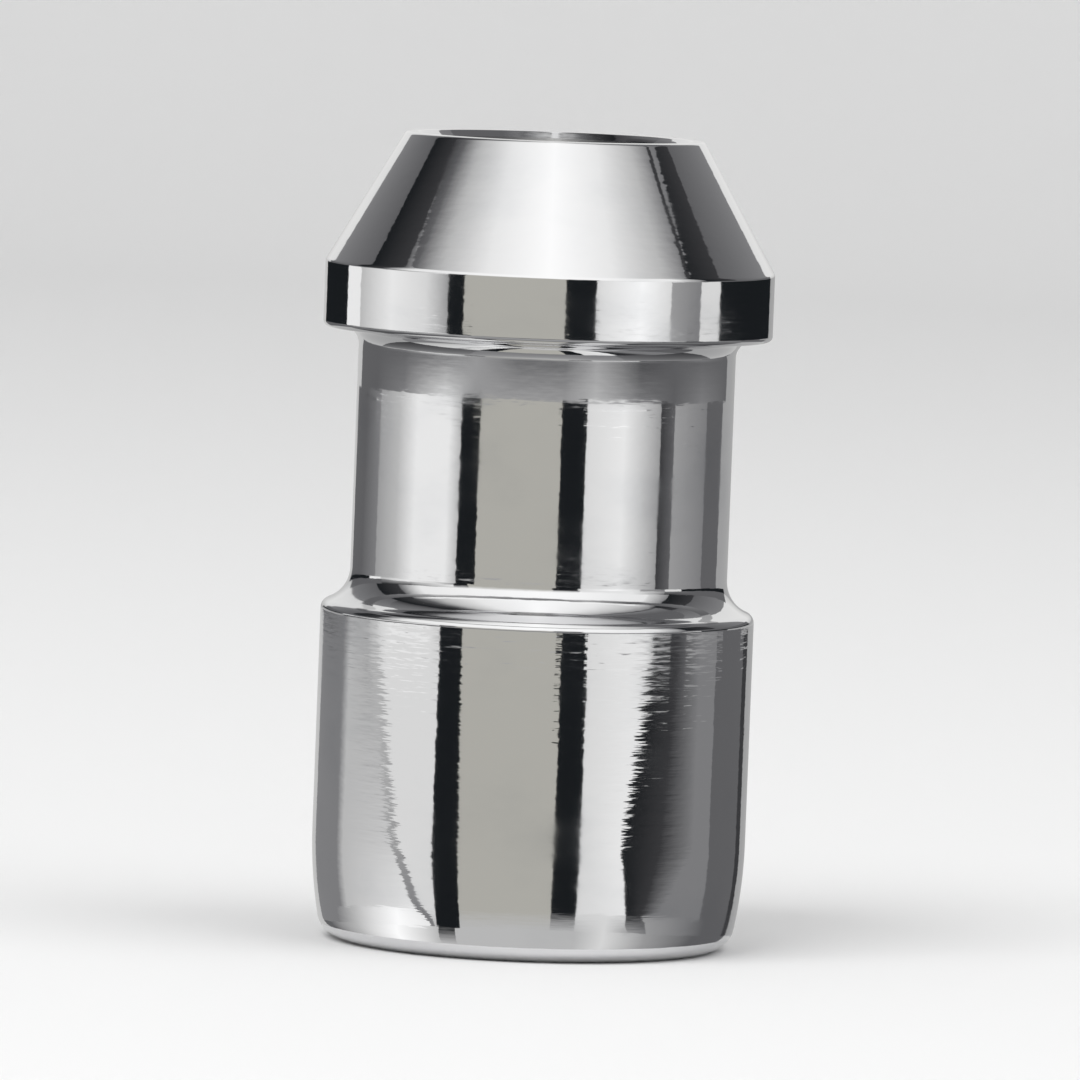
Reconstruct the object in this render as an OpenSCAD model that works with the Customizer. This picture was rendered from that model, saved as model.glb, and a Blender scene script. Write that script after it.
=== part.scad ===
// Locking wheel nut with a plain round head, a waisted neck and a conical seat.
// It is turned in one piece from steel bar and drilled blind from the seat end.
// The nut stands on its head at z = 0, and a wheel stud enters from above along the Z axis.
// A closed wavy groove in the flat face of the head takes the ridge of the matching key.

/* [Head] */
// Diameter of the head
head_d = 19.9; // [19:0.1:23]
// Length of the head, from its flat face to the shoulder's edge
head_length = 15.1; // [12:0.1:20]
// Length over which the head closes in towards its flat face
crown_length = 5; // [3:0.5:6]
// Radius of that slow curve, seen from the side
crown_r = 22; // [18:1:60]
// Radius of the edge round the flat face
face_edge_r = 1.2; // [0.6:0.1:1.6]
// Radius of the convex edge where the head meets the shoulder
shoulder_edge_r = 0.45; // [0.2:0.05:0.8]
// Radius of the hollow between the shoulder and the neck
shoulder_fillet_r = 1.6; // [0.8:0.1:2.5]

/* [Neck] */
// Depth of the waist below the head, or below the collar where that is smaller
neck_depth = 1.3; // [0.8:0.1:2]
// Length from the shoulder's edge to the collar
neck_length = 13.2; // [8:0.1:20]

/* [Collar and seat] */
// Diameter of the collar
collar_d = 20.6; // [19:0.1:24]
// Length of the collar's straight band
collar_length = 2.8; // [1.5:0.1:5]
// Radius of the collar's lower edge
collar_edge_r = 0.25; // [0.1:0.05:0.5]
// Radius of the hollow between the collar and the neck
collar_fillet_r = 1.7; // [0.8:0.1:2.5]
// Radius of the edge between the collar and the seat
seat_edge_r = 0.3; // [0.1:0.05:0.6]
// Included angle of the conical seat
seat_angle = 60; // [50:1:90]
// Width of the rim round the mouth
rim_width = 0.55; // [0.4:0.05:1]
// Radius of the rim's outer edge
rim_edge_r = 0.2; // [0.1:0.05:0.3]

/* [Threaded bore] */
// Diameter over the crests of the thread, 10.5 for a 12 mm stud of 1.5 mm pitch
thread_minor_d = 10.5; // [9:0.1:12.5]
// Radial width of the lead-in at the mouth
mouth_relief = 1.05; // [0.5:0.05:1.3]
// Included angle of the lead-in
mouth_angle = 90; // [60:5:120]
// Included angle of the drill's point at the blind end
drill_angle = 118; // [90:1:140]
// Solid metal left between the drill's point and the key groove
web = 2.5; // [1.5:0.5:5]

/* [Key groove] */
// Depth of the groove
groove_depth = 6; // [3:0.5:8]
// Width of the groove
groove_width = 1.7; // [1:0.1:1.8]
// Distance from the edge of the flat face to the circle that the groove waves about
groove_inset = 2.9; // [2.4:0.1:4]
// Tightest bend of the groove's walls, which sets how high its waves can be
groove_bend_r = 0.15; // [0.1:0.05:0.8]
// Number of waves round the groove
waves = 7; // [5:1:9]
// Number of slower waves, which make the pattern uneven
slow_waves = 3; // [2:1:4]
// Share of the bending that the slower waves have
slow_wave_share = 0.18; // [0:0.02:0.24]
// Turn of the slower waves against the others, in degrees
slow_wave_turn = 35; // [0:5:120]
// Width and depth of the broken edge along the groove
groove_break = 0.15; // [0.05:0.05:0.2]

/* [Hidden] */
$fn = 96;
head_r = head_d / 2;
collar_r = collar_d / 2;
neck_r = min(head_r, collar_r) - neck_depth;
bore_r = thread_minor_d / 2;
mouth_r = bore_r + mouth_relief;
tip_r = mouth_r + rim_width;
seat_height = (collar_r - tip_r) / tan(seat_angle / 2);
collar_z = head_length + neck_length;
seat_z = collar_z + collar_length;
tip_z = seat_z + seat_height;
mouth_depth = mouth_relief / tan(mouth_angle / 2);
drill_tip_z = groove_depth + web;
bore_z = drill_tip_z + bore_r / tan(drill_angle / 2);
// How far a cutter runs past the face that it cuts
overcut = 1;
// Straight steps along one quarter of a rounded edge, and round the key groove
arc_steps = 8;
groove_steps = 126;

// Points along an arc about a centre, from one angle to another
function arc(centre, r, from, to, steps = arc_steps) = [
    for (i = [0:steps])
        let (a = from + (to - from) * i / steps)
            centre + r * [cos(a), sin(a)]
];

// Turn of the two opposed arcs that step from one radius to a larger one
function step_turn(step, hollow_r, edge_r) = acos(max(0, 1 - step / (hollow_r + edge_r)));

// Section of a step from the neck out to a larger radius: a hollow, then a convex edge.
// It ends on the larger radius where z is 0, and side is 1 where that lies above the neck,
// or -1 where it lies below
function step_points(outer_r, hollow_r, edge_r, side) =
    let (
        turn = step_turn(outer_r - neck_r, hollow_r, edge_r),
        rise = (hollow_r + edge_r) * sin(turn),
        hollow = [neck_r + hollow_r, -rise],
        edge = [outer_r - edge_r, 0],
        points = concat(
            arc(hollow, hollow_r, 180, 180 - turn),
            arc(edge, edge_r, -turn, 0)
        )
    )
    [for (p = points) [p[0], side * p[1]]];

// Moves points along the axis
function lift(points, z) = [for (p = points) p + [0, z]];

function reversed(points) = [for (i = [len(points) - 1:-1:0]) points[i]];

// Corner between two straight runs, rounded so that it touches both: in and out are their
// directions in degrees, and the corner turns to the left
function round_corner(corner, r, in, out) =
    let (
        half = (out - in) / 2,
        reach = r / cos(half),
        centre = corner + reach * [cos(in + half + 90), sin(in + half + 90)]
    )
    arc(centre, r, in - 90, out - 90);

// Edge and slow curve of the head, from the flat face up to the straight side
crown_turn = asin((crown_length - face_edge_r) / (crown_r - face_edge_r));
crown_centre = [head_r - crown_r, crown_length];
face_edge_centre = crown_centre + (crown_r - face_edge_r) * [cos(crown_turn), -sin(crown_turn)];
head_points = concat(
    arc(face_edge_centre, face_edge_r, -90, -crown_turn),
    arc(crown_centre, crown_r, -crown_turn, 0)
);

// Direction of the seat's side as it rises and closes in
seat_slope = 90 + seat_angle / 2;

// Solid of revolution before it is drilled and grooved
module blank() {
    rotate_extrude()
        polygon(concat(
            [[0, 0]],
            head_points,
            lift(reversed(step_points(head_r, shoulder_fillet_r, shoulder_edge_r, -1)), head_length),
            lift(step_points(collar_r, collar_fillet_r, collar_edge_r, 1), collar_z),
            round_corner([collar_r, seat_z], seat_edge_r, 90, seat_slope),
            round_corner([tip_r, tip_z], rim_edge_r, seat_slope, 180),
            [[0, tip_z]]
        ));
}

// Lead-in, tapping bore and drill point, cut from the seat end
module threaded_bore() {
    translate([0, 0, bore_z])
        cylinder(h = tip_z - bore_z + overcut, r = bore_r);
    translate([0, 0, drill_tip_z])
        cylinder(h = bore_z - drill_tip_z, r1 = 0, r2 = bore_r);
    translate([0, 0, tip_z - mouth_depth])
        cylinder(h = mouth_depth, r1 = bore_r, r2 = mouth_r);
}

// Circle of the key groove, and the heights to which its waves can rise above it and fall
// below it before a wall bends too tightly
groove_r = face_edge_centre[0] - groove_inset;
groove_mid_bend_r = groove_width / 2 + groove_break + groove_bend_r;
groove_bending = pow(groove_r, 2) / groove_mid_bend_r - groove_r;
wave_height = (1 - slow_wave_share) * groove_bending / pow(waves, 2);
slow_wave_height = slow_wave_share * groove_bending / pow(slow_waves, 2);

// Middle line of the key groove: its radius at an angle, and how fast that radius grows
function groove_mid(a) =
    groove_r + wave_height * cos(waves * a)
    + slow_wave_height * cos(slow_waves * a + slow_wave_turn);
function groove_growth(a) =
    -waves * wave_height * sin(waves * a)
    - slow_waves * slow_wave_height * sin(slow_waves * a + slow_wave_turn);

// Outline that runs beside the middle line at a distance, to its outer side if positive
function groove_side(distance) = [
    for (i = [0:groove_steps - 1])
        let (
            a = 360 * i / groove_steps,
            r = groove_mid(a),
            along = groove_growth(a) * [cos(a), sin(a)] + r * [-sin(a), cos(a)],
            outward = [along[1], -along[0]] / norm(along)
        )
        r * [cos(a), sin(a)] + distance * outward
];

// Closed band of a given width along the middle line
module groove_band(width) {
    difference() {
        polygon(groove_side(width / 2));
        polygon(groove_side(-width / 2));
    }
}

// Groove for the key, with a shallow wider band that breaks its edges
module key_groove() {
    translate([0, 0, -overcut])
        linear_extrude(height = groove_depth + overcut)
            groove_band(groove_width);
    translate([0, 0, -overcut])
        linear_extrude(height = groove_break + overcut)
            groove_band(groove_width + 2 * groove_break);
}

module locking_nut() {
    color([0.78, 0.78, 0.79])
        difference() {
            blank();
            threaded_bore();
            key_groove();
        }
}

locking_nut();
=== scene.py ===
"""Dresses the locking wheel nut in chrome plate and lights it in a plain pale studio.

The nut stands on its head at the origin, with its thread along +Z. Lengths are in metres and
angles in radians, unless a name says otherwise. The camera looks along +Y.
"""

import logging
import math
from collections.abc import Callable
from dataclasses import dataclass, field
from enum import Enum
from functools import partial

import bmesh
import bpy
from mathutils import Matrix, Vector


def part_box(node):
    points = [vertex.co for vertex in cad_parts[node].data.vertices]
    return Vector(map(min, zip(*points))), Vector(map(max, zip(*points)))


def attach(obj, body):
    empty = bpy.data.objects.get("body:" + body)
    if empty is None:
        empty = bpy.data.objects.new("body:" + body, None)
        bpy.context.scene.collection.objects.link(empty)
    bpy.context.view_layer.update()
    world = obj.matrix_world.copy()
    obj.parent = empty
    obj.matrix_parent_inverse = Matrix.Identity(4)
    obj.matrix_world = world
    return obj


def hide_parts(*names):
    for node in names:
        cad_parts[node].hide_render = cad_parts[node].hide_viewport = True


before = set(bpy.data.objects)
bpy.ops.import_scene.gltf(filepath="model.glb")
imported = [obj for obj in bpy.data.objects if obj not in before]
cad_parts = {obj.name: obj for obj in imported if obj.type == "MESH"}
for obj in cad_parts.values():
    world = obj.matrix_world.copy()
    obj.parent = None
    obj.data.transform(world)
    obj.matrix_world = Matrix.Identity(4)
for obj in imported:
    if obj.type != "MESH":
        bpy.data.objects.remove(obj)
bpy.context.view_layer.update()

MM = 0.001
NODE = "locking_nut"
LOG = logging.getLogger(NODE)

# Sockets of the Mix node when it mixes colours
MIX_FACTOR, MIX_FIRST, MIX_SECOND, MIX_RESULT = 0, 6, 7, 2

# Name of the colour that each point of a card carries
TINT = "glow"

# Angle past which a card lies straight behind the nut, where only other views mirror it
BEHIND_DEG = 180

# Angle from a card's edge once round to the same edge: a full turn, and the part straight behind
ROUND_DEG = 360 + BEHIND_DEG


class Surface(Enum):
    """The finishes of the nut, in the order of its material slots."""

    PLATE = 0
    BORE = 1


class Tone(Enum):
    """Brightness and tint of a card that the plate mirrors."""

    GLARE = (1.25, 1.25, 1.24)
    WHITE = (1.02, 1.02, 1.01)
    PALE = (0.86, 0.86, 0.85)
    LIGHT = (0.6, 0.6, 0.595)
    WARM = (0.52, 0.51, 0.465)
    SILVER = (0.4, 0.4, 0.4)
    MID = (0.25, 0.25, 0.255)
    GREY = (0.14, 0.14, 0.145)
    DARK = (0.05, 0.05, 0.053)
    BLACK = (0.012, 0.014, 0.016)


class Value:
    """A number socket of a shader, which can be used in arithmetic."""

    def __init__(self, shader: "Shader", socket: bpy.types.NodeSocket) -> None:
        """Wraps a socket.

        Args:
            shader: The shader that the socket belongs to.
            socket: The output socket that gives the number.
        """
        self.shader = shader
        self.socket = socket

    def _math(self, operation: str, first: "Value | float", second: "Value | float") -> "Value":
        """Adds one Math node.

        Args:
            operation: The node's operation.
            first: Its first number.
            second: Its second number.

        Returns:
            The node's result.
        """
        node = self.shader.node("ShaderNodeMath", {"operation": operation}, {0: first, 1: second})
        return Value(self.shader, node.outputs[0])

    def __add__(self, other: "Value | float") -> "Value":
        """The sum."""
        return self._math("ADD", self, other)

    __radd__ = __add__

    def __mul__(self, other: "Value | float") -> "Value":
        """The product."""
        return self._math("MULTIPLY", self, other)

    __rmul__ = __mul__

    def __sub__(self, other: "Value | float") -> "Value":
        """This number less the other."""
        return self._math("SUBTRACT", self, other)

    def __rsub__(self, other: float) -> "Value":
        """The other number less this one."""
        return self._math("SUBTRACT", other, self)

    def ramp(self, start: float, end: float) -> "Value":
        """A smooth rise from 0 to 1.

        Args:
            start: The number at which the result leaves 0.
            end: The number at which it reaches 1.

        Returns:
            The result, held between 0 and 1.
        """
        settings = {"interpolation_type": "SMOOTHSTEP", "data_type": "FLOAT"}
        node = self.shader.node("ShaderNodeMapRange", settings, {0: self, 1: start, 2: end})
        return Value(self.shader, node.outputs[0])


@dataclass(frozen=True)
class Marks:
    """Noise in a surface: its waves to the metre along each axis, finer layers and height."""

    scale: tuple[float, float, float]
    detail: float
    height: float = 0.0


class Shader:
    """A material's or the world's nodes, added one at a time."""

    def __init__(self, owner: bpy.types.Material | bpy.types.World) -> None:
        """Empties the owner's node tree.

        Args:
            owner: The material or world that the nodes are for.
        """
        owner.use_nodes = True
        self.tree = owner.node_tree
        self.tree.nodes.clear()

    def node(
        self, kind: str, settings: dict | None = None, inputs: dict | None = None
    ) -> bpy.types.Node:
        """Adds a node, sets its options and then its sockets.

        Args:
            kind: The node's type.
            settings: Its options by name.
            inputs: A value, a Value or an output socket for each input, by name or number.

        Returns:
            The new node.
        """
        node = self.tree.nodes.new(kind)
        for name, value in (settings or {}).items():
            setattr(node, name, value)
        for name, value in (inputs or {}).items():
            source = value.socket if isinstance(value, Value) else value
            if isinstance(source, bpy.types.NodeSocket):
                self.tree.links.new(source, node.inputs[name])
            else:
                node.inputs[name].default_value = source
        return node

    def place(self) -> bpy.types.NodeSocket:
        """The point on the piece, in metres."""
        return self.node("ShaderNodeTexCoord").outputs["Object"]

    def height(self) -> Value:
        """The height on the piece, in metres."""
        node = self.node("ShaderNodeSeparateXYZ", inputs={0: self.place()})
        return Value(self, node.outputs["Z"])

    def noise(self, marks: Marks) -> Value:
        """Noise that can be finer one way than another.

        Args:
            marks: Its scale and detail.

        Returns:
            The noise, from 0 to 1.
        """
        stretch = {"Vector": self.place(), "Scale": marks.scale}
        place = self.node("ShaderNodeMapping", inputs=stretch).outputs[0]
        inputs = {"Vector": place, "Scale": 1.0, "Detail": marks.detail}
        return Value(self, self.node("ShaderNodeTexNoise", inputs=inputs).outputs["Fac"])

    def relief(self, marks: Marks) -> Value:
        """The height of marks in the surface, in metres."""
        return self.noise(marks) * marks.height

    def bump(self, relief: Value) -> bpy.types.NodeSocket:
        """Turns a relief into the direction that the surface faces.

        Args:
            relief: The relief's height, in metres.

        Returns:
            The socket that gives the direction.
        """
        inputs = {"Strength": 1.0, "Distance": 1.0, "Height": relief}
        return self.node("ShaderNodeBump", inputs=inputs).outputs[0]

    def blend(
        self, factor: Value, first: tuple | bpy.types.NodeSocket, second: tuple
    ) -> bpy.types.NodeSocket:
        """Mixes two colours.

        Args:
            factor: 0 gives the first colour and 1 the second.
            first: The first colour, as red, green and blue, or the socket that gives it.
            second: The second colour, as red, green and blue.

        Returns:
            The socket that gives the mixed colour.
        """
        start = (*first, 1.0) if isinstance(first, tuple) else first
        inputs = {MIX_FACTOR: factor, MIX_FIRST: start, MIX_SECOND: (*second, 1.0)}
        return self.node("ShaderNodeMix", {"data_type": "RGBA"}, inputs).outputs[MIX_RESULT]

    def finish(self, shader: bpy.types.NodeSocket, kind: str = "ShaderNodeOutputMaterial") -> None:
        """Connects the last shader to the output.

        Args:
            shader: The socket that gives the shader.
            kind: The type of the output node.
        """
        self.node(kind, inputs={"Surface": shader})


@dataclass(frozen=True)
class ChromePlate:
    """Bright chrome plate over a turned surface, whose fine lines show through it."""

    name: str = "chrome_plate"
    clean: tuple = (0.78, 0.78, 0.79)
    hazy: tuple = (0.72, 0.725, 0.74)
    roughness: float = 0.045
    haze_roughness: float = 0.07
    haze: Marks = Marks((160.0, 160.0, 260.0), detail=4.0)
    haze_range: tuple = (0.45, 0.75)
    lines: Marks = Marks((60.0, 60.0, 3000.0), detail=3.0, height=0.004 * MM)
    streaks: Marks = Marks((600.0, 600.0, 4200.0), detail=2.0, height=0.005 * MM)
    ripples: Marks = Marks((1500.0, 1500.0, 2600.0), detail=1.0, height=0.003 * MM)
    fine_share: float = 0.35

    def build(self, coarse_z: float, fine_z: float) -> bpy.types.Material:
        """Makes the material.

        Args:
            coarse_z: Height up to which the turning lines are coarse.
            fine_z: Height from which they are fine.

        Returns:
            The material.
        """
        material = bpy.data.materials.new(self.name)
        shader = Shader(material)
        finer = shader.height().ramp(coarse_z, fine_z) * (1 - self.fine_share)
        haze = shader.noise(self.haze).ramp(*self.haze_range)
        turning = (shader.relief(self.lines) + shader.relief(self.streaks)) * (1 - finer)
        plate = shader.node("ShaderNodeBsdfPrincipled", inputs={
            "Base Color": shader.blend(haze, self.clean, self.hazy),
            "Metallic": 1.0,
            "Roughness": haze * self.haze_roughness + self.roughness,
            "Normal": shader.bump(turning + shader.relief(self.ripples)),
        })
        shader.finish(plate.outputs[0])
        return material


@dataclass(frozen=True)
class BoreFinish:
    """Steel inside the bore: plated at the mouth, then dark oily steel and painted shade further
    in.
    """

    name: str = "bore_steel"
    plated: tuple = (0.5, 0.5, 0.5)
    # Near-black oily steel: partly real, partly painted shade of the deep bore
    dark: tuple = (0.075, 0.066, 0.058)
    rust: tuple = (0.16, 0.1, 0.06)
    rust_range: tuple = (0.5, 0.72)
    roughness: float = 0.46
    plated_roughness: float = 0.2
    speckle: Marks = Marks((2600.0, 2600.0, 2600.0), detail=3.0, height=0.004 * MM)
    ragged_edge: float = 2 * MM

    def build(self, mouth_z: float, dark_z: float) -> bpy.types.Material:
        """Makes the material.

        Args:
            mouth_z: Height of the mouth, where the plate ends.
            dark_z: Height below which no plate is left and the painted shade is full.

        Returns:
            The material.
        """
        material = bpy.data.materials.new(self.name)
        shader = Shader(material)
        speckle = shader.noise(self.speckle)
        # The plate gives way deeper in to dark oily steel, darkened also as painted shade of the
        # deep bore
        plate = (shader.height() + (speckle - 0.5) * self.ragged_edge).ramp(dark_z, mouth_z)
        stained_and_shaded = shader.blend(speckle.ramp(*self.rust_range), self.dark, self.rust)
        steel = shader.node("ShaderNodeBsdfPrincipled", inputs={
            "Base Color": shader.blend(plate, stained_and_shaded, self.plated),
            "Metallic": 1.0,
            "Roughness": self.roughness - plate * (self.roughness - self.plated_roughness),
            "Normal": shader.bump(speckle * self.speckle.height),
        })
        shader.finish(steel.outputs[0])
        return material


@dataclass(frozen=True)
class NutSizes:
    """Sizes of the nut: those of its solid, apart from a tighter hollow under the collar.

    The thread is only here. Counted in its turns from the blind end of the bore, it is full from
    full_thread_turns, and the lead of the tap shapes the last tap_lead_turns below that.
    """

    head_r: float = 9.95 * MM
    head_length: float = 15.1 * MM
    crown_length: float = 5 * MM
    crown_r: float = 22 * MM
    face_edge_r: float = 1.2 * MM
    shoulder_edge_r: float = 0.45 * MM
    shoulder_fillet_r: float = 1.6 * MM
    neck_depth: float = 1.3 * MM
    neck_length: float = 13.2 * MM
    collar_r: float = 10.3 * MM
    collar_length: float = 2.8 * MM
    collar_edge_r: float = 0.25 * MM
    collar_fillet_r: float = 0.8 * MM
    seat_edge_r: float = 0.3 * MM
    seat_half_angle: float = math.radians(30)
    rim_width: float = 0.55 * MM
    rim_edge_r: float = 0.2 * MM
    mouth_edge_r: float = 0.1 * MM
    mouth_relief: float = 1.05 * MM
    mouth_half_angle: float = math.radians(45)
    crest_r: float = 5.25 * MM
    root_r: float = 6 * MM
    pitch: float = 1.5 * MM
    root_flat_share: float = 1 / 8
    flank_half_angle: float = math.radians(30)
    tap_lead_turns: float = 1.5
    full_thread_turns: float = 3.0
    drill_half_angle: float = math.radians(59)
    web: float = 2.5 * MM
    groove_depth: float = 6 * MM
    groove_width: float = 1.7 * MM
    groove_inset: float = 2.9 * MM
    groove_bend_r: float = 0.15 * MM
    groove_break: float = 0.15 * MM
    waves: int = 7
    slow_waves: int = 3
    slow_wave_share: float = 0.18
    slow_wave_turn: float = math.radians(35)

    @property
    def neck_r(self) -> float:
        """Radius of the neck."""
        return min(self.head_r, self.collar_r) - self.neck_depth

    @property
    def mouth_r(self) -> float:
        """Radius of the lead-in at the rim."""
        return self.crest_r + self.mouth_relief

    @property
    def tip_r(self) -> float:
        """Radius of the small end of the seat."""
        return self.mouth_r + self.rim_width

    @property
    def collar_z(self) -> float:
        """Height of the collar's lower edge."""
        return self.head_length + self.neck_length

    @property
    def seat_z(self) -> float:
        """Height of the seat's large end."""
        return self.collar_z + self.collar_length

    @property
    def tip_z(self) -> float:
        """Height of the rim."""
        return self.seat_z + (self.collar_r - self.tip_r) / math.tan(self.seat_half_angle)

    @property
    def drill_tip_z(self) -> float:
        """Height of the drill point."""
        return self.groove_depth + self.web

    @property
    def bore_z(self) -> float:
        """Height at which the bore reaches its full width."""
        return self.drill_tip_z + self.crest_r / math.tan(self.drill_half_angle)

    @property
    def crown_turn(self) -> float:
        """Turn of the head's slow curve."""
        rise = self.crown_length - self.face_edge_r
        return math.asin(rise / (self.crown_r - self.face_edge_r))

    @property
    def face_r(self) -> float:
        """Radius of the flat face of the head."""
        reach = (self.crown_r - self.face_edge_r) * math.cos(self.crown_turn)
        return self.head_r - self.crown_r + reach

    @property
    def groove_r(self) -> float:
        """Radius of the circle that the key groove waves about."""
        return self.face_r - self.groove_inset

    @property
    def groove_bending(self) -> float:
        """Height that one wave round the key groove could have before it bends too tightly."""
        bend_r = self.groove_width / 2 + self.groove_break + self.groove_bend_r
        return self.groove_r ** 2 / bend_r - self.groove_r

    @property
    def wave_height(self) -> float:
        """Height of the key groove's waves."""
        return (1 - self.slow_wave_share) * self.groove_bending / self.waves ** 2

    @property
    def slow_wave_height(self) -> float:
        """Height of its slower waves."""
        return self.slow_wave_share * self.groove_bending / self.slow_waves ** 2

    def step(self, outer_r: float, hollow_r: float, edge_r: float) -> tuple[float, float]:
        """A step from the neck to a larger radius: a hollow, then a convex edge.

        Args:
            outer_r: The larger radius.
            hollow_r: Radius of the hollow.
            edge_r: Radius of the edge.

        Returns:
            The turn of both arcs, and the step's height.
        """
        turn = math.acos(max(0.0, 1 - (outer_r - self.neck_r) / (hollow_r + edge_r)))
        return turn, (hollow_r + edge_r) * math.sin(turn)


class SectionPen:
    """Draws the section of a turned part in the XZ plane, one run after another."""

    def __init__(self, mesh: bmesh.types.BMesh, x: float, z: float) -> None:
        """Starts the section.

        Args:
            mesh: The mesh that it is drawn in.
            x: Radius of its first point.
            z: Height of its first point.
        """
        self.mesh = mesh
        self.tip = mesh.verts.new((x, 0, z))

    def line(self, x: float, z: float) -> None:
        """Draws a straight edge to a point.

        Args:
            x: Radius of the point.
            z: Height of the point.
        """
        self.tip = bmesh.ops.extrude_vert_indiv(self.mesh, verts=[self.tip])["verts"][0]
        self.tip.co = (x, 0, z)

    def run(self, x: float, z: float, guard: float = 0.04 * MM) -> None:
        """Draws a straight run with a short edge at each end, which keep its shading straight.

        Args:
            x: Radius of the run's end.
            z: Height of the run's end.
            guard: Length of the short edges.
        """
        start, end = self.tip.co.copy(), Vector((x, 0, z))
        inset = (end - start).normalized() * guard
        for point in (start + inset, end - inset, end):
            self.line(point.x, point.z)

    def arc(self, x: float, z: float, turn: float, steps: int) -> None:
        """Draws an arc, which turns to the left if the turn is positive.

        Args:
            x: Radius at which the arc's centre lies.
            z: Height of the arc's centre.
            turn: Angle that the arc covers.
            steps: Number of edges along it.
        """
        swept = bmesh.ops.spin(
            self.mesh, geom=[self.tip], cent=(x, 0, z), axis=(0, -1, 0), angle=turn, steps=steps
        )
        ends = swept["geom_last"]
        self.tip = next(item for item in ends if isinstance(item, bmesh.types.BMVert))

    def round_corner(
        self, corner: Vector, radius: float, into: float, out: float, steps: int
    ) -> None:
        """Draws a straight run to a corner, and rounds the corner.

        Args:
            corner: The corner's radius and height.
            radius: Radius of the rounding.
            into: Direction of the run into the corner.
            out: Direction of the run out of it.
            steps: Number of edges along the rounding.
        """
        reach = radius * math.tan((out - into) / 2)
        start = corner - reach * Vector((math.cos(into), math.sin(into)))
        centre = start + radius * Vector((-math.sin(into), math.cos(into)))
        self.run(start.x, start.y)
        self.arc(centre.x, centre.y, out - into, steps)


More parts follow.
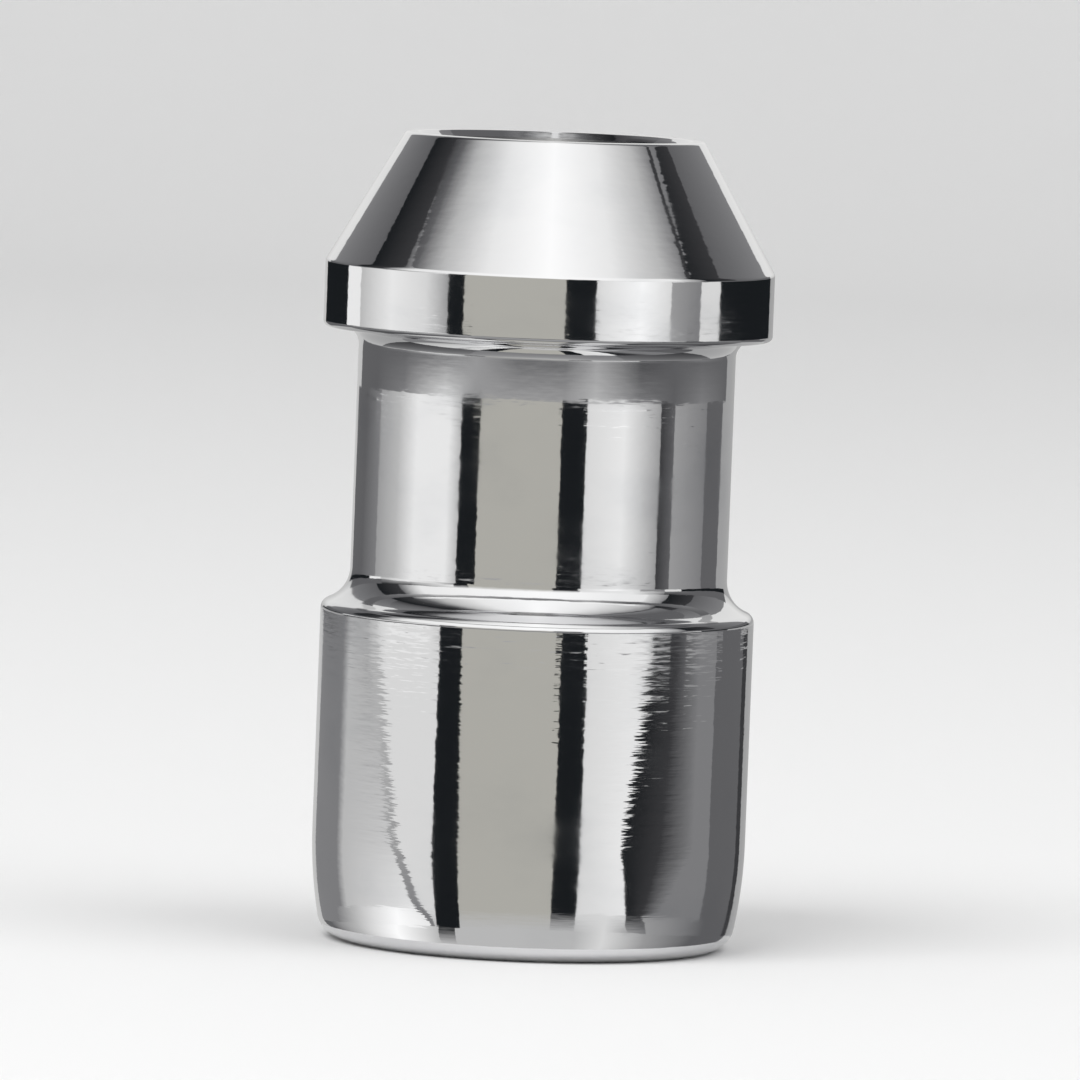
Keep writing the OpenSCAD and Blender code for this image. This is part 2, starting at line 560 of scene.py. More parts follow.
@dataclass
class LockingNut:
    """The nut: one turned, drilled, tapped and grooved piece."""

    name: str = "locking_nut_dressed"
    sizes: NutSizes = field(default_factory=NutSizes)
    plate: ChromePlate = field(default_factory=ChromePlate)
    bore: BoreFinish = field(default_factory=BoreFinish)
    segments: int = 252
    thread_segments: int = 126
    flank_cuts: int = 3
    crown_steps: int = 20
    hollow_steps: int = 14
    edge_steps: int = 8
    seat_edge_steps: int = 6
    mouth_edge_steps: int = 5
    sharp_angle: float = math.radians(28)
    touch: float = 0.0005 * MM
    same_place: float = 0.00005 * MM
    join_depth: float = 0.15 * MM
    trimmed_turns: float = 1.02
    plated_turns: float = 2.5
    drill_tip_r: float = 0.05 * MM

    def build(self) -> bpy.types.Object:
        """Builds and dresses the nut, and puts it in the place of its solid.

        Returns:
            The finished object.
        """
        mesh = bmesh.new()
        self.turn_outside(mesh)
        self.cut_key_groove(mesh)
        self.add_bore(mesh)
        bmesh.ops.remove_doubles(mesh, verts=mesh.verts, dist=self.same_place)
        bmesh.ops.recalc_face_normals(mesh, faces=mesh.faces)
        self.shade(mesh)
        data = bpy.data.meshes.new(self.name)
        open_edges = sum(not edge.is_manifold for edge in mesh.edges)
        if open_edges:
            raise ValueError(f"the nut's surface has {open_edges} open edges")
        mesh.to_mesh(data)
        mesh.free()
        nut = bpy.data.objects.new(self.name, data)
        bpy.context.scene.collection.objects.link(nut)
        s = self.sizes
        data.materials.append(self.plate.build(s.head_length - s.shoulder_fillet_r, s.head_length))
        mouth_z = s.tip_z - s.mouth_relief
        # Below the plated turns the bore is dark oily steel with painted shade of its depth
        data.materials.append(self.bore.build(mouth_z, mouth_z - self.plated_turns * s.pitch))
        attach(nut, "root")
        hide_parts(NODE)
        return nut

    def turn_outside(self, mesh: bmesh.types.BMesh) -> None:
        """Spins the outside, from the edge of the flat face to just inside the mouth.

        Args:
            mesh: The mesh that it is added to.
        """
        s = self.sizes
        pen = SectionPen(mesh, s.face_r, 0.0)
        pen.arc(s.face_r, s.face_edge_r, math.radians(90) - s.crown_turn, self.hollow_steps)
        pen.arc(s.head_r - s.crown_r, s.crown_length, s.crown_turn, self.crown_steps)
        turn, rise = s.step(s.head_r, s.shoulder_fillet_r, s.shoulder_edge_r)
        pen.run(s.head_r, s.head_length)
        pen.arc(s.head_r - s.shoulder_edge_r, s.head_length, turn, self.edge_steps)
        pen.arc(s.neck_r + s.shoulder_fillet_r, s.head_length + rise, -turn, self.hollow_steps)
        turn, rise = s.step(s.collar_r, s.collar_fillet_r, s.collar_edge_r)
        pen.run(s.neck_r, s.collar_z - rise)
        pen.arc(s.neck_r + s.collar_fillet_r, s.collar_z - rise, -turn, self.hollow_steps)
        pen.run(s.collar_r - s.collar_edge_r, s.collar_z - s.collar_edge_r)
        pen.arc(s.collar_r - s.collar_edge_r, s.collar_z, turn, self.edge_steps)
        up, inward = math.radians(90), math.radians(180)
        slope, down = up + s.seat_half_angle, math.radians(270) - s.mouth_half_angle
        for x, z, radius, into, out, steps in (
            (s.collar_r, s.seat_z, s.seat_edge_r, up, slope, self.seat_edge_steps),
            (s.tip_r, s.tip_z, s.rim_edge_r, slope, inward, self.edge_steps),
            (s.mouth_r, s.tip_z, s.mouth_edge_r, inward, down, self.mouth_edge_steps),
        ):
            pen.round_corner(Vector((x, z)), radius, into, out, steps)
        join_r = s.mouth_r - self.join_depth * math.tan(s.mouth_half_angle)
        pen.run(join_r, s.tip_z - self.join_depth)
        bmesh.ops.spin(
            mesh, geom=mesh.verts[:] + mesh.edges[:], cent=(0, 0, 0), axis=(0, 0, 1),
            angle=math.tau, steps=self.segments, use_merge=True,
        )

    def beside_groove(self, angle: float, distance: float, z: float) -> Vector:
        """A point beside the middle line of the key groove.

        Args:
            angle: Angle of the middle line's point about the axis.
            distance: Distance from the middle line, to its outer side if positive.
            z: Height of the point.

        Returns:
            The point.
        """
        s = self.sizes
        radius, growth = s.groove_r, 0.0
        for waves, height, phase in (
            (s.waves, s.wave_height, s.waves * angle),
            (s.slow_waves, s.slow_wave_height, s.slow_waves * angle + s.slow_wave_turn),
        ):
            radius += height * math.cos(phase)
            growth -= waves * height * math.sin(phase)
        out = Vector((math.cos(angle), math.sin(angle)))
        along = (growth * out + radius * Vector((-out.y, out.x))).normalized()
        point = radius * out + distance * Vector((along.y, -along.x))
        return Vector((point.x, point.y, z))

    @staticmethod
    def beside_axis(angle: float, radius: float, z: float) -> Vector:
        """A point at an angle about the axis, a distance from it, and a height."""
        return Vector((radius * math.cos(angle), radius * math.sin(angle), z))

    def loop_at(self, mesh: bmesh.types.BMesh, z: float, low_r: float, high_r: float) -> list:
        """Finds the open edges at one height, within a range of radii.

        Args:
            mesh: The mesh.
            z: The height.
            low_r: The smallest radius.
            high_r: The largest radius.

        Returns:
            The edges.
        """
        return [
            edge for edge in mesh.edges
            if edge.is_boundary and all(
                abs(vert.co.z - z) < self.touch and low_r < vert.co.xy.length < high_r
                for vert in edge.verts
            )
        ]

    def cut_key_groove(self, mesh: bmesh.types.BMesh) -> None:
        """Closes the flat face round the key groove, and makes the groove and its island.

        Args:
            mesh: The mesh that it is added to.
        """
        s = self.sizes
        half, broken = s.groove_width / 2, s.groove_width / 2 + s.groove_break
        loop = self.loop_at(mesh, 0.0, s.face_r - self.touch, s.face_r + self.touch)
        self.close_loop(mesh, loop, [
            partial(self.beside_groove, distance=distance, z=z)
            for distance, z in (
                (broken, 0.0), (half, s.groove_break), (half, s.groove_depth),
                (-half, s.groove_depth), (-half, s.groove_break), (-broken, 0.0),
            )
        ])

    def close_loop(
        self, mesh: bmesh.types.BMesh, loop: list, outlines: list[Callable[[float], Vector]]
    ) -> None:
        """Extrudes a loop of open edges from one outline to the next, and fills the last one.

        Each vertex keeps the angle about the axis that its loop gave it, so the faces can't cross.

        Args:
            mesh: The mesh.
            loop: The loop's edges.
            outlines: Gives the point of each outline at an angle.
        """
        angles = {vert: math.atan2(vert.co.y, vert.co.x) for edge in loop for vert in edge.verts}
        for outline in outlines:
            extruded = bmesh.ops.extrude_edge_only(mesh, edges=loop)["geom"]
            following = {}
            for vert in (item for item in extruded if isinstance(item, bmesh.types.BMVert)):
                ends = (end for edge in vert.link_edges for end in edge.verts)
                following[vert] = next(angles[end] for end in ends if end in angles)
                vert.co = outline(following[vert])
            angles = following
            edges = (item for item in extruded if isinstance(item, bmesh.types.BMEdge))
            loop = [edge for edge in edges if edge.is_boundary]
        bmesh.ops.edgeloop_fill(mesh, edges=loop)

    def void_radius(self, tapped_r: float, z: float) -> float:
        """Radius of the bore's wall, where the lead-in and the tap's taper meet the thread.

        Args:
            tapped_r: Radius of the full thread at the point.
            z: Height of the point.

        Returns:
            The radius.
        """
        s = self.sizes
        full_thread_z = s.bore_z + s.full_thread_turns * s.pitch
        taper = (s.root_r - s.crest_r) / (s.tap_lead_turns * s.pitch)
        run_out = max(s.crest_r, tapped_r - max(0.0, full_thread_z - z) * taper)
        lead_in = s.mouth_r + (z - s.tip_z) * math.tan(s.mouth_half_angle)
        return max(run_out, lead_in)

    def add_bore(self, mesh: bmesh.types.BMesh) -> None:
        """Adds the tapped bore with its blind end, and joins it to the mouth.

        Args:
            mesh: The mesh that it is added to.
        """
        scratch = bpy.data.meshes.new("bore")
        bore = self.tap_bore()
        for face in bore.faces:
            face.material_index = Surface.BORE.value
        bore.to_mesh(scratch)
        bore.free()
        mesh.from_mesh(scratch)
        bpy.data.meshes.remove(scratch)
        upper, lower = (
            self.loop_at(mesh, self.sizes.tip_z - depth, self.sizes.crest_r, self.sizes.mouth_r)
            for depth in (self.join_depth, 2 * self.join_depth)
        )
        bmesh.ops.bridge_loops(mesh, edges=upper + lower)

    def tap_bore(self) -> bmesh.types.BMesh:
        """Makes the wall of the tapped bore, with the drill's point at its lower end.

        The thread is one turn of its section, copied upwards, and trimmed level at both ends.

        Returns:
            The wall, open at its upper end.
        """
        s = self.sizes
        bore = bmesh.new()
        flank = (s.root_r - s.crest_r) * math.tan(s.flank_half_angle)
        crest_flat = (1 - s.root_flat_share) * s.pitch - 2 * flank
        pen = SectionPen(bore, s.crest_r, s.bore_z)
        pen.line(s.crest_r, s.bore_z + crest_flat)
        pen.line(s.root_r, s.bore_z + crest_flat + flank)
        pen.line(s.root_r, s.bore_z + s.pitch - flank)
        pen.line(s.crest_r, s.bore_z + s.pitch)
        flanks = [
            edge for edge in bore.edges
            if abs(edge.verts[0].co.x - edge.verts[1].co.x) > self.touch
        ]
        bmesh.ops.subdivide_edges(bore, edges=flanks, cuts=self.flank_cuts)
        bmesh.ops.spin(
            bore, geom=bore.verts[:] + bore.edges[:], cent=(0, 0, 0), axis=(0, 0, 1),
            angle=math.tau, steps=self.thread_segments,
            dvec=(0, 0, s.pitch / self.thread_segments),
        )
        first_turn = bore.verts[:] + bore.edges[:] + bore.faces[:]
        for turn in range(1, math.ceil((s.tip_z - s.bore_z) / s.pitch) + 1):
            copied = bmesh.ops.duplicate(bore, geom=first_turn)["geom"]
            verts = [item for item in copied if isinstance(item, bmesh.types.BMVert)]
            bmesh.ops.translate(bore, verts=verts, vec=(0, 0, turn * s.pitch))
        bmesh.ops.remove_doubles(bore, verts=bore.verts, dist=self.touch)
        for vert in bore.verts:
            radius = vert.co.xy.length
            vert.co.xy *= self.void_radius(radius, vert.co.z) / radius
        top = s.tip_z - 2 * self.join_depth
        bottom = s.bore_z + self.trimmed_turns * s.pitch
        for z, normal in ((top, (0, 0, 1)), (bottom, (0, 0, -1))):
            bmesh.ops.bisect_plane(
                bore, geom=bore.verts[:] + bore.edges[:] + bore.faces[:], dist=self.same_place,
                plane_co=(0, 0, z), plane_no=normal, clear_outer=True,
            )
        tip_z = s.drill_tip_z + self.drill_tip_r / math.tan(s.drill_half_angle)
        self.close_loop(bore, self.loop_at(bore, bottom, 0.0, s.root_r), [
            partial(self.beside_axis, radius=s.crest_r, z=s.bore_z),
            partial(self.beside_axis, radius=self.drill_tip_r, z=tip_z),
        ])
        return bore

    def shade(self, mesh: bmesh.types.BMesh) -> None:
        """Shades every face smooth, apart from at sharp edges.

        Args:
            mesh: The whole mesh.
        """
        for face in mesh.faces:
            face.smooth = True
        for edge in mesh.edges:
            edge.smooth = edge.calc_face_angle(math.pi) < self.sharp_angle


@dataclass(frozen=True)
class Card:
    """One card of a ring of the tent. It runs to the left edge of the next card.

    Its left edge is given in degrees from the camera's side, to the right if positive: one angle,
    or three at the start, the middle and the end of the ring's width. Past BEHIND_DEG a card lies
    straight behind the nut. It has one tone, or a left and a right one, or two of these pairs, at
    the ring's start and at its end.
    """

    edge_deg: float | tuple[float, float, float]
    tones: tuple[Tone, ...]

    def edge(self, share: float) -> float:
        """The angle of its left edge somewhere along it.

        Args:
            share: 0 at the ring's start and 1 at its end.

        Returns:
            The angle, in degrees.
        """
        if isinstance(self.edge_deg, (int, float)):
            return self.edge_deg
        start, middle, end = self.edge_deg
        if share < 0.5:
            return start + (middle - start) * 2 * share
        return middle + (end - middle) * (2 * share - 1)

    def colour(self, across: float, share: float) -> Vector:
        """The tone of one of its points.

        Args:
            across: 0 at its left edge and 1 at its right one.
            share: 0 at the ring's start and 1 at its end.

        Returns:
            The tone, as red, green and blue.
        """
        tones = [Vector(tone.value) for tone in self.tones]
        low_left, low_right, high_left, high_right = tones * (4 // len(tones))
        return low_left.lerp(low_right, across).lerp(high_left.lerp(high_right, across), share)


@dataclass(frozen=True)
class Ring:
    """A ring of cards round the nut, from a start to an end: each a distance and a height."""

    name: str
    start: tuple[float, float]
    end: tuple[float, float]
    cards: tuple[Card, ...]
    ease: float = 1.0
    domed: bool = False

    def section(self, share: float) -> tuple[float, float]:
        """A point of the ring's section.

        Args:
            share: 0 at the ring's start and 1 at its end.

        Returns:
            The distance from the nut's side and the height.
        """
        (near, low), (far, high) = self.start, self.end
        if self.domed:
            turn = share * math.pi / 2
            return far + (near - far) * math.cos(turn), low + (high - low) * math.sin(turn)
        moved = share ** self.ease
        return near + (far - near) * moved, low + (high - low) * moved


# The cards of each ring, from straight behind the nut on its left, past the camera, to its right
FOOT_CARDS = (
    Card(-180, (Tone.LIGHT,)),
    Card(-158, (Tone.GREY,)),
    Card(-145, (Tone.GREY, Tone.LIGHT)),
    Card(-110, (Tone.LIGHT, Tone.GLARE)),
    Card(-78, (Tone.GLARE, Tone.PALE)),
    Card(-60, (Tone.PALE, Tone.LIGHT)),
    Card(-50, (Tone.LIGHT, Tone.LIGHT, Tone.BLACK, Tone.BLACK)),
    Card(-40, (Tone.LIGHT,)),
    Card(14, (Tone.LIGHT,)),
    Card(28, (Tone.LIGHT, Tone.PALE)),
    Card(45, (Tone.PALE, Tone.SILVER)),
    Card(72, (Tone.SILVER, Tone.GREY)),
    Card(110, (Tone.GREY,)),
    Card(153, (Tone.LIGHT,)),
)
HEM_CARDS = (
    Card(-180, (Tone.LIGHT,)),
    Card(-158, (Tone.MID,)),
    Card(-130, (Tone.MID, Tone.LIGHT)),
    Card(-110, (Tone.LIGHT, Tone.GLARE)),
    Card(-76, (Tone.GLARE, Tone.WHITE)),
    Card((-54, -58, -63), (Tone.MID,)),
    Card((-52, -54, -58), (Tone.LIGHT, Tone.LIGHT, Tone.PALE, Tone.PALE)),
    Card(-51, (Tone.BLACK,)),
    Card(-37, (Tone.LIGHT, Tone.LIGHT, Tone.WARM, Tone.WARM)),
    Card(13.5, (Tone.LIGHT, Tone.LIGHT, Tone.BLACK, Tone.BLACK)),
    Card(27.5, (Tone.LIGHT, Tone.PALE, Tone.PALE, Tone.PALE)),
    Card(45, (Tone.PALE, Tone.SILVER, Tone.PALE, Tone.PALE)),
    Card((60, 57, 57), (Tone.SILVER, Tone.MID, Tone.BLACK, Tone.DARK)),
    Card((72, 70, 66), (Tone.SILVER, Tone.MID)),
    Card(100, (Tone.MID, Tone.GREY)),
    Card(118, (Tone.GREY,)),
    Card(145, (Tone.DARK,)),
    Card(153, (Tone.SILVER, Tone.LIGHT)),
)
HEAD_CARDS = (
    Card(-180, (Tone.LIGHT,)),
    Card(-158, (Tone.MID,)),
    Card(-124, (Tone.MID, Tone.LIGHT)),
    Card(-117, (Tone.LIGHT, Tone.WHITE, Tone.LIGHT, Tone.SILVER)),
    Card((-63, -79, -101), (Tone.MID, Tone.MID, Tone.LIGHT, Tone.LIGHT)),
    Card((-58, -74, -94), (Tone.PALE,)),
    Card((-51, -52.5, -52.5), (Tone.BLACK,)),
    Card((-37, -37.5, -40), (Tone.WARM,)),
    Card(13.5, (Tone.BLACK,)),
    Card(27.5, (Tone.PALE, Tone.WHITE)),
    Card((57, 50, 66), (Tone.BLACK, Tone.DARK)),
    Card((66, 74, 82), (Tone.DARK, Tone.MID)),
    Card((74, 98, 98), (Tone.MID, Tone.MID)),
    Card(112, (Tone.GREY,)),
    Card(145, (Tone.DARK,)),
    Card(153, (Tone.SILVER, Tone.LIGHT)),
)
NECK_CARDS = (
    Card(-180, (Tone.LIGHT,)),
    Card(-162, (Tone.GREY,)),
    Card(-140, (Tone.GREY, Tone.MID)),
    Card(-120, (Tone.SILVER, Tone.LIGHT)),
    Card(-100, (Tone.LIGHT, Tone.WHITE)),
    Card(-84, (Tone.WHITE,)),
    Card(-60, (Tone.WHITE, Tone.LIGHT)),
    Card(-52, (Tone.BLACK,)),
    Card(-39.5, (Tone.WARM,)),
    Card(10.5, (Tone.BLACK,)),
    Card(26, (Tone.PALE, Tone.WHITE)),
    Card(50, (Tone.WHITE, Tone.SILVER)),
    Card(76, (Tone.DARK, Tone.GREY)),
    Card(87, (Tone.SILVER, Tone.MID)),
    Card(118, (Tone.GREY,)),
    Card(140, (Tone.SILVER, Tone.LIGHT)),
)
BAND_CARDS = (
    Card(-180, (Tone.LIGHT,)),
    Card(-160, (Tone.GREY,)),
    Card(-130, (Tone.GREY, Tone.MID, Tone.GREY, Tone.GREY)),
    Card(-100, (Tone.MID, Tone.PALE, Tone.GREY, Tone.GREY)),
    Card(-66, (Tone.PALE, Tone.SILVER, Tone.GREY, Tone.SILVER)),
    Card(-45, (Tone.SILVER, Tone.SILVER, Tone.SILVER, Tone.GREY)),
    Card(-18, (Tone.SILVER, Tone.SILVER, Tone.GREY, Tone.GREY)),
    Card(12, (Tone.SILVER, Tone.LIGHT, Tone.GREY, Tone.SILVER)),
    Card(32, (Tone.LIGHT, Tone.MID, Tone.SILVER, Tone.DARK)),
    Card(62, (Tone.MID, Tone.GREY, Tone.DARK, Tone.GREY)),
    Card(88, (Tone.GREY, Tone.MID, Tone.GREY, Tone.GREY)),
    Card(115, (Tone.MID, Tone.GREY, Tone.GREY, Tone.GREY)),
    Card(150, (Tone.SILVER, Tone.LIGHT)),
)
COLLAR_CARDS = (
    Card(-180, (Tone.LIGHT,)),
    Card(-162, (Tone.BLACK,)),
    Card(-126, (Tone.WHITE,)),
    Card(-113, (Tone.LIGHT, Tone.WHITE)),
    Card(-88, (Tone.WHITE, Tone.PALE)),
    Card(-66, (Tone.PALE, Tone.SILVER)),
    Card(-53, (Tone.BLACK,)),
    Card(-44, (Tone.WARM,)),
    Card(8.5, (Tone.BLACK,)),
    Card(24, (Tone.PALE, Tone.GLARE)),
    Card(48, (Tone.GLARE, Tone.PALE)),
    Card(65, (Tone.SILVER, Tone.MID)),
    Card(84, (Tone.PALE,)),
    Card(98, (Tone.BLACK,)),
    Card(156, (Tone.SILVER, Tone.LIGHT)),
)
SKIRT_CARDS = (
    Card(-180, (Tone.SILVER, Tone.SILVER, Tone.LIGHT, Tone.LIGHT)),
    Card(-125, (Tone.DARK, Tone.GREY, Tone.MID, Tone.SILVER)),
    Card(-50, (Tone.MID, Tone.MID, Tone.SILVER, Tone.LIGHT)),
    Card(0, (Tone.MID, Tone.MID, Tone.LIGHT, Tone.SILVER)),
    Card(50, (Tone.GREY, Tone.DARK, Tone.SILVER, Tone.MID)),
    Card(122, (Tone.SILVER, Tone.SILVER, Tone.LIGHT, Tone.LIGHT)),
)
SIDE_CARDS = (
    Card(-180, (Tone.LIGHT, Tone.LIGHT, Tone.PALE, Tone.PALE)),
    Card(-155, (Tone.GREY,)),
    Card(-112, (Tone.MID, Tone.LIGHT, Tone.BLACK, Tone.DARK)),
    Card(-84, (Tone.LIGHT, Tone.WHITE, Tone.GREY, Tone.PALE)),
    Card(-53, (Tone.DARK, Tone.DARK, Tone.PALE, Tone.WHITE)),
    Card(-43, (Tone.WARM, Tone.WARM, Tone.WHITE, Tone.GLARE)),
    Card(9, (Tone.DARK, Tone.DARK, Tone.GLARE, Tone.GLARE)),
    Card(25, (Tone.PALE, Tone.WHITE, Tone.GLARE, Tone.WHITE)),
    Card(60, (Tone.WHITE, Tone.SILVER, Tone.WHITE, Tone.GREY)),
    Card(84, (Tone.MID, Tone.GREY, Tone.BLACK, Tone.GREY)),
    Card(112, (Tone.GREY,)),
    Card(155, (Tone.LIGHT, Tone.LIGHT, Tone.PALE, Tone.PALE)),
)
UPPER_CARDS = (
    Card(-180, (Tone.PALE,)),
    Card(-152, (Tone.MID, Tone.GREY)),
    Card(-118, (Tone.BLACK, Tone.DARK)),
    Card(-96, (Tone.GREY, Tone.WHITE)),
    Card(-78, (Tone.WHITE, Tone.GLARE)),
    Card(0, (Tone.GLARE, Tone.WHITE)),
    Card(72, (Tone.PALE, Tone.MID)),
    Card(88, (Tone.BLACK, Tone.DARK)),
    Card(112, (Tone.GREY, Tone.MID)),
    Card(152, (Tone.PALE,)),
)
TOP_CARDS = (
    Card(-180, (Tone.LIGHT, Tone.LIGHT, Tone.WHITE, Tone.WHITE)),
    Card(-158, (Tone.MID, Tone.GREY)),
    Card((-130, -130, -148), (Tone.GREY, Tone.DARK)),
    Card((-118, -118, -140), (Tone.BLACK, Tone.DARK)),
    Card((-100, -100, -126), (Tone.DARK, Tone.GREY)),
    Card((-90, -90, -114), (Tone.GREY, Tone.LIGHT)),
    Card((-74, -74, -98), (Tone.LIGHT, Tone.WHITE)),
    Card((-44, -44, -60), (Tone.WHITE, Tone.GLARE)),
    Card(0, (Tone.GLARE, Tone.WHITE)),
    Card((44, 44, 60), (Tone.WHITE, Tone.LIGHT)),
    Card((76, 76, 98), (Tone.LIGHT, Tone.MID)),
    Card((91, 91, 114), (Tone.DARK,)),
    Card((94, 94, 118), (Tone.MID, Tone.GREY)),
    Card((112, 112, 132), (Tone.GREY,)),
    Card(150, (Tone.LIGHT, Tone.LIGHT, Tone.WHITE, Tone.WHITE)),
)


@dataclass(frozen=True)
class Lamp:
    """A square soft lamp that faces the nut: its place, the length of its side, and its watts."""

    name: str
    place: tuple[float, float, float]
    side: float
    watts: float


@dataclass
class Studio:
    """A pale floor with a round cove, lamps, the tent that the plate mirrors, and the camera."""

    nut_r: float
    nut_height: float
    floor_colour: tuple = (0.86, 0.86, 0.86)
    floor_roughness: float = 0.9
    floor_z: float = -0.02 * MM
    floor_r: float = 0.62
    floor_segments: int = 128
    cove_r: float = 0.25
    cove_steps: int = 24
    wall_height: float = 0.75
    same_place: float = 0.001 * MM
    lamps: tuple = (
        Lamp("key_lamp", (-0.3, -0.4, 0.72), side=0.5, watts=3.5),
        Lamp("fill_lamp", (0.4, -0.2, 0.7), side=0.6, watts=2.0),
    )
    card_step_deg: float = 3.0
    card_rows: int = 16
    foot_depth: float = 3 * MM
    hem_depth: float = 6.5 * MM
    tent_z: float = 0.05 * MM
    tent_reach: float = 0.195
    neck_z: float = 15.8 * MM
    collar_z: float = 28 * MM
    skirt: tuple = ((10 * MM, 15.3 * MM), (70 * MM, 10.9 * MM))
    band: tuple = ((12 * MM, 24.65 * MM), (12 * MM, 26.95 * MM))
    upper_z: float = 0.055
    side_z: float = 0.2
    top_z: float = 0.36
    background: tuple = (0.86, 0.86, 0.86)
    ambient: float = 0.5
    camera_distance: float = 0.53
    camera_rise_deg: float = 4.0
    camera_roll_deg: float = -2.2
    camera_clip: tuple = (0.01, 10.0)
    lens_mm: float = 385.0

    def build(self) -> None:
        """Builds the whole studio."""
        self.floor()
        self.tent()
        for lamp in self.lamps:
            self.hang_lamp(lamp)
        self.world()
        self.camera()

    def floor(self) -> None:
        """Makes the floor, whose edge curves up into a wall all round."""
        mesh = bmesh.new()
        pen = SectionPen(mesh, 0.0, self.floor_z)
        pen.line(self.floor_r, self.floor_z)
        pen.arc(self.floor_r, self.floor_z + self.cove_r, math.radians(90), self.cove_steps)
        pen.line(self.floor_r + self.cove_r, self.wall_height)
        bmesh.ops.spin(
            mesh, geom=mesh.verts[:] + mesh.edges[:], cent=(0, 0, 0), axis=(0, 0, 1),
            angle=math.tau, steps=self.floor_segments, use_merge=True,
        )
        bmesh.ops.remove_doubles(mesh, verts=mesh.verts, dist=self.same_place)
        for face in mesh.faces:
            face.smooth = True
        self.add("studio_floor", mesh, self.matt("floor_paint"))

    def matt(self, name: str) -> bpy.types.Material:
        """Makes the floor's matt paint.

        Args:
            name: The material's name.

        Returns:
            The material.
        """
        material = bpy.data.materials.new(name)
        shader = Shader(material)
        paint = shader.node("ShaderNodeBsdfPrincipled", inputs={
            "Base Color": (*self.floor_colour, 1.0),
            "Roughness": self.floor_roughness,
            "Specular IOR Level": 0.0,
        })
        shader.finish(paint.outputs[0])
        return material

    def tent(self) -> None:
        """Makes the tent: rings of cards from the nut's foot to overhead, seen only in mirrors."""
        foot, hem, reach, z = self.foot_depth, self.hem_depth, self.tent_reach, self.tent_z
        glow = self.glow("card_glow")
        for ring in (
            Ring("tent_foot", (0.0, z), (foot, z), FOOT_CARDS),
            Ring("tent_hem", (foot, z), (hem, z), HEM_CARDS),
            Ring("tent_head_ring", (hem, z), (reach, z), HEAD_CARDS, ease=2.0),
            Ring("tent_neck_ring", (reach, z), (reach, self.neck_z), NECK_CARDS),
            Ring("tent_skirt", *self.skirt, SKIRT_CARDS),
            Ring("tent_band", *self.band, BAND_CARDS),
            Ring("tent_collar_ring", (reach, self.neck_z), (reach, self.collar_z), COLLAR_CARDS),
            Ring("tent_side_ring", (reach, self.collar_z), (reach, self.upper_z), SIDE_CARDS),
            Ring("tent_upper_ring", (reach, self.upper_z), (reach, self.side_z), UPPER_CARDS),
            Ring("tent_top_ring", (reach, self.side_z), (0.0, self.top_z), TOP_CARDS, domed=True),
        ):
            self.hang(ring, glow)

    def hang(self, ring: Ring, glow: bpy.types.Material) -> None:
        """Makes one ring of the tent.

        Args:
            ring: The ring.
            glow: The material of its cards.
        """
        mesh = bmesh.new()
        tint = mesh.verts.layers.float_color.new(TINT)
        round_again = Card(ring.cards[0].edge_deg + ROUND_DEG, ring.cards[0].tones)
        for card, following in zip(ring.cards, (*ring.cards[1:], round_again)):
            width_deg = following.edge(0.5) - card.edge(0.5)
            columns = max(2, math.ceil(width_deg / self.card_step_deg))
            grid = bmesh.ops.create_grid(
                mesh, x_segments=columns, y_segments=self.card_rows, size=0.5
            )
            for vert in grid["verts"]:
                across, share = vert.co.x + 0.5, vert.co.y + 0.5
                turn = (1 - across) * card.edge(share) + across * following.edge(share)
                distance, z = ring.section(share)
                vert.co = self.beside_nut(turn, distance, z)
                vert[tint] = (*card.colour(across, share), 1.0)
        sheet = self.add(ring.name, mesh, glow)
        sheet.visible_camera = False
        sheet.visible_diffuse = False
        sheet.visible_shadow = False
        sheet.visible_transmission = False

    def beside_nut(self, angle_deg: float, distance: float, z: float) -> Vector:
        """The point that the nut's side mirrors to the camera at an angle and a distance.

        Args:
            angle_deg: Angle from the camera's side. Past BEHIND_DEG it goes on round the nut.
            distance: Distance from the nut's side.
            z: Height of the point.

        Returns:
            The point.
        """
        away = math.radians(min(angle_deg, BEHIND_DEG))
        side = away / 2 + math.radians(max(angle_deg - BEHIND_DEG, 0.0))
        x = self.nut_r * math.sin(side) + distance * math.sin(away)
        y = -self.nut_r * math.cos(side) - distance * math.cos(away)
        return Vector((x, y, z))

    def glow(self, name: str) -> bpy.types.Material:
        """Makes the cards' own light, which follows the tones of each and lights only mirrors.

        No light is sampled on the cards, because only the rays that a mirror sends out meet them.

        Args:
            name: The material's name.

        Returns:
            The material.
        """
        material = bpy.data.materials.new(name)
        material.cycles.emission_sampling = "NONE"
        shader = Shader(material)
        tint = shader.node("ShaderNodeAttribute", {"attribute_name": TINT}).outputs["Color"]
        emission = shader.node("ShaderNodeEmission", inputs={"Color": tint, "Strength": 1.0})
        shader.finish(emission.outputs[0])
        return material

    def add(
        self, name: str, mesh: bmesh.types.BMesh, material: bpy.types.Material
    ) -> bpy.types.Object:
        """Adds a part of the stage.

        Args:
            name: Name of the object.
            mesh: Its mesh, which is freed.
            material: Its material.

        Returns:
            The object.
        """
        data = bpy.data.meshes.new(name)
        mesh.to_mesh(data)
        mesh.free()
        data.materials.append(material)
        sheet = bpy.data.objects.new(name, data)
        bpy.context.scene.collection.objects.link(sheet)
        return sheet

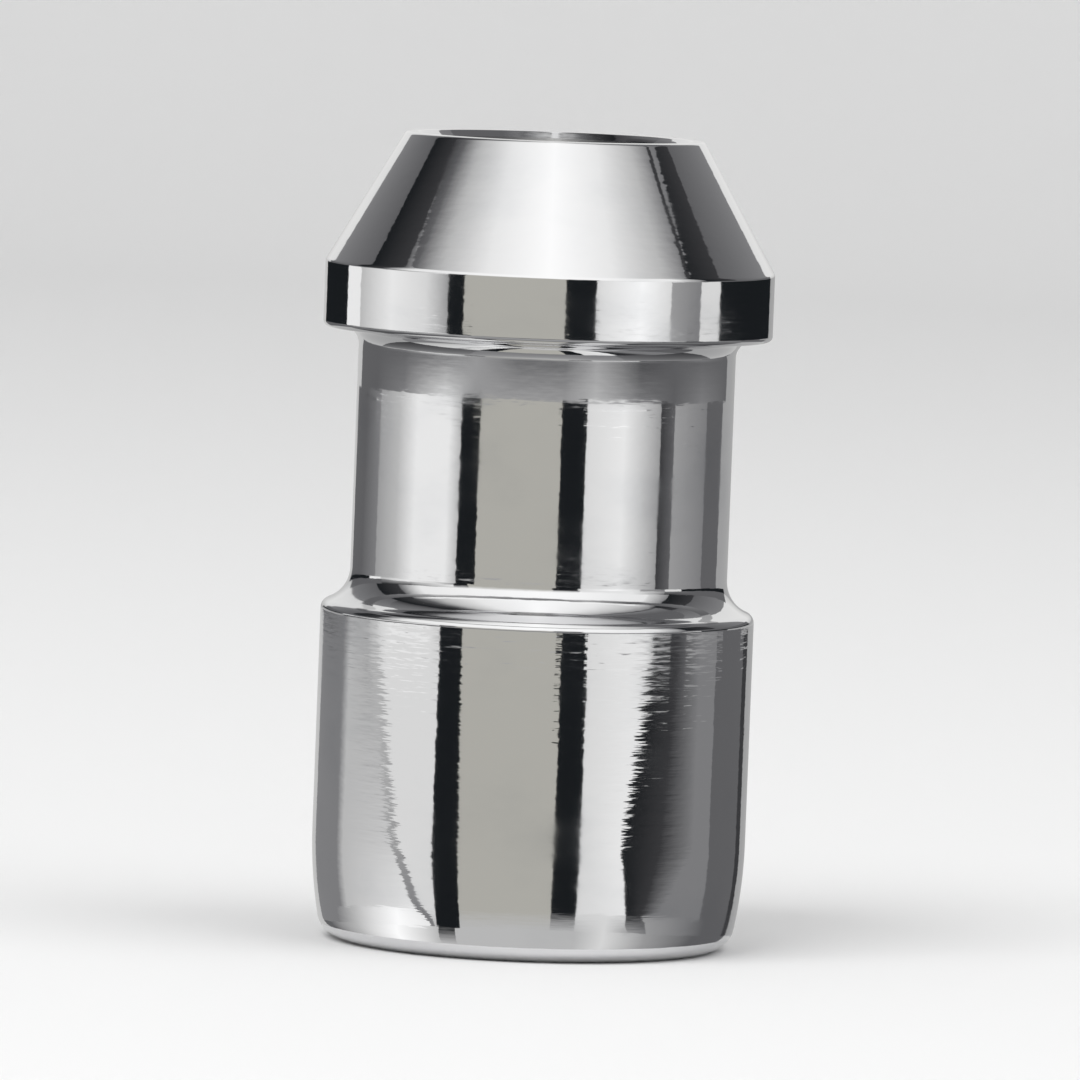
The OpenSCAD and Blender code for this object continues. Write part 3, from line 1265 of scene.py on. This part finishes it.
    def hang_lamp(self, lamp: Lamp) -> None:
        """Hangs a lamp, which neither the camera nor a mirror shows.

        Args:
            lamp: The lamp.
        """
        data = bpy.data.lights.new(lamp.name, "AREA")
        data.size = lamp.side
        data.energy = lamp.watts
        hung = bpy.data.objects.new(lamp.name, data)
        bpy.context.scene.collection.objects.link(hung)
        hung.location = lamp.place
        hung.rotation_euler = (-Vector(lamp.place)).to_track_quat("-Z", "Y").to_euler()
        hung.visible_glossy = False
        hung.visible_camera = False

    def world(self) -> None:
        """Lights the studio evenly, and shows a pale background to the camera and in mirrors."""
        world = bpy.data.worlds.new("studio_world")
        bpy.context.scene.world = world
        shader = Shader(world)
        path = shader.node("ShaderNodeLightPath").outputs
        seen = Value(shader, path["Is Camera Ray"]) + Value(shader, path["Is Glossy Ray"])
        seen = (seen + Value(shader, path["Is Transmission Ray"])).ramp(0.0, 1.0)
        strength = seen * (1 - self.ambient) + self.ambient
        light = shader.node("ShaderNodeBackground", inputs={
            "Color": (*self.background, 1.0), "Strength": strength,
        })
        shader.finish(light.outputs[0], "ShaderNodeOutputWorld")

    def camera(self) -> None:
        """Places the scene's camera a little above the nut, at the photograph's angle."""
        data = bpy.data.cameras.new("studio_camera")
        data.lens = self.lens_mm
        data.clip_start, data.clip_end = self.camera_clip
        camera = bpy.data.objects.new("studio_camera", data)
        bpy.context.scene.collection.objects.link(camera)
        rise = math.radians(self.camera_rise_deg)
        aim = Vector((0, 0, self.nut_height / 2))
        away = Vector((0, -math.cos(rise), math.sin(rise)))
        camera.location = aim + away * self.camera_distance
        look = (-away).to_track_quat("-Z", "Y").to_matrix()
        roll = Matrix.Rotation(math.radians(-self.camera_roll_deg), 3, "Z")
        camera.rotation_euler = (look @ roll).to_euler()
        bpy.context.scene.camera = camera


def main() -> None:
    """Builds the nut and the studio, and notes the size of the CAD model and of the dressed nut."""
    logging.basicConfig(level=logging.INFO, format="%(message)s")
    nut = LockingNut()
    dressed = nut.build()
    LOG.info("%s: %d faces", dressed.name, len(dressed.data.polygons))
    low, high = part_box(NODE)
    Studio(nut_r=nut.sizes.head_r, nut_height=high.z).build()
    bpy.context.scene.view_settings.view_transform = "Standard"
    LOG.info("%s: height %.3f mm", NODE, (high.z - low.z) / MM)


if __name__ == "__main__":
    main()
